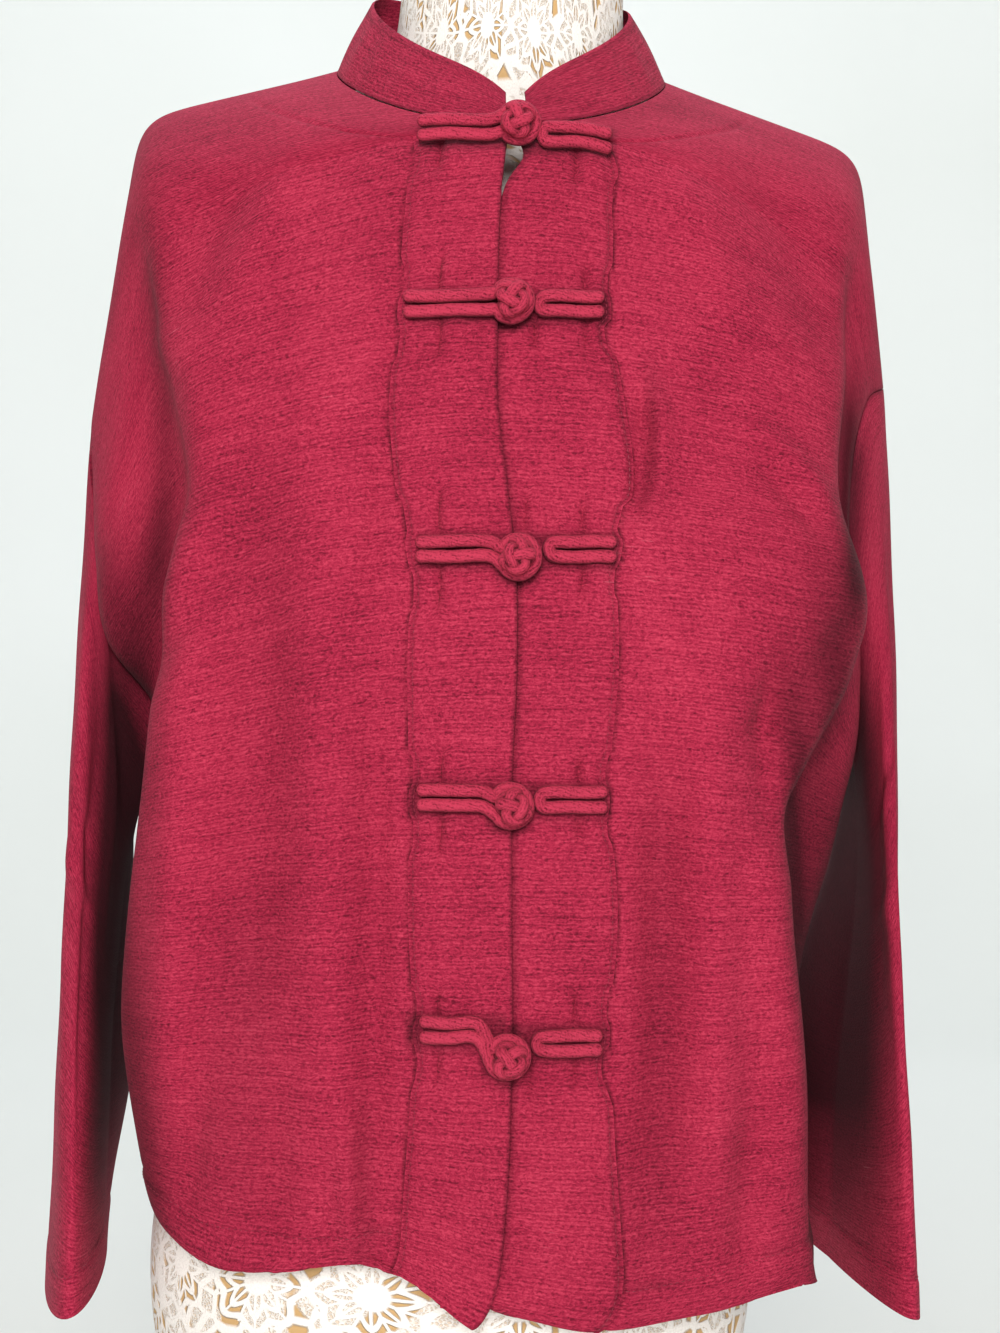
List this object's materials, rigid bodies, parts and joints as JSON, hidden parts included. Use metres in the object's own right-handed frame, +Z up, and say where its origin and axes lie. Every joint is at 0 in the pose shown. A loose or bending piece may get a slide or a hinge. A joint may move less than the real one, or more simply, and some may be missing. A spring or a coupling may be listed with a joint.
{
  "type": "tang jacket on a limbless dress form",
  "caption": "Loose crimson tang jacket with a stand collar and knotted frog closures, worn by a limbless dress form with a lace cover on a counter stand.",
  "frame": {"origin": "middle of the underside of the stand's base", "axes": "+Z up, -Y the way the jacket's front faces, +X to the wearer's left"},
  "size_m": [0.473, 0.32, 0.92],
  "materials": {
    "crinkled_cloth": "matte crinkled crepe with slubs",
    "cloth_cord": "matte cord rolled from the same cloth",
    "lace_cover": "white crochet lace over gold cloth",
    "painted_metal": "satin paint"
  },
  "bodies": {
    "root": {"front_right": "crinkled_cloth", "front_left": "crinkled_cloth", "back": "crinkled_cloth", "sleeve_right": "crinkled_cloth", "sleeve_left": "crinkled_cloth", "collar": "crinkled_cloth", "placket_right": "crinkled_cloth", "placket_left": "crinkled_cloth", "frog_loop_1": "cloth_cord", "frog_loop_2": "cloth_cord", "frog_loop_3": "cloth_cord", "frog_loop_4": "cloth_cord", "frog_loop_5": "cloth_cord", "frog_bar_1": "cloth_cord", "frog_bar_2": "cloth_cord", "frog_bar_3": "cloth_cord", "frog_bar_4": "cloth_cord", "frog_bar_5": "cloth_cord", "knot_1": "cloth_cord", "knot_2": "cloth_cord", "knot_3": "cloth_cord", "knot_4": "cloth_cord", "knot_5": "cloth_cord", "form_torso": "lace_cover", "form_pole": "painted_metal", "form_base": "painted_metal"}
  },
  "joints": []
}
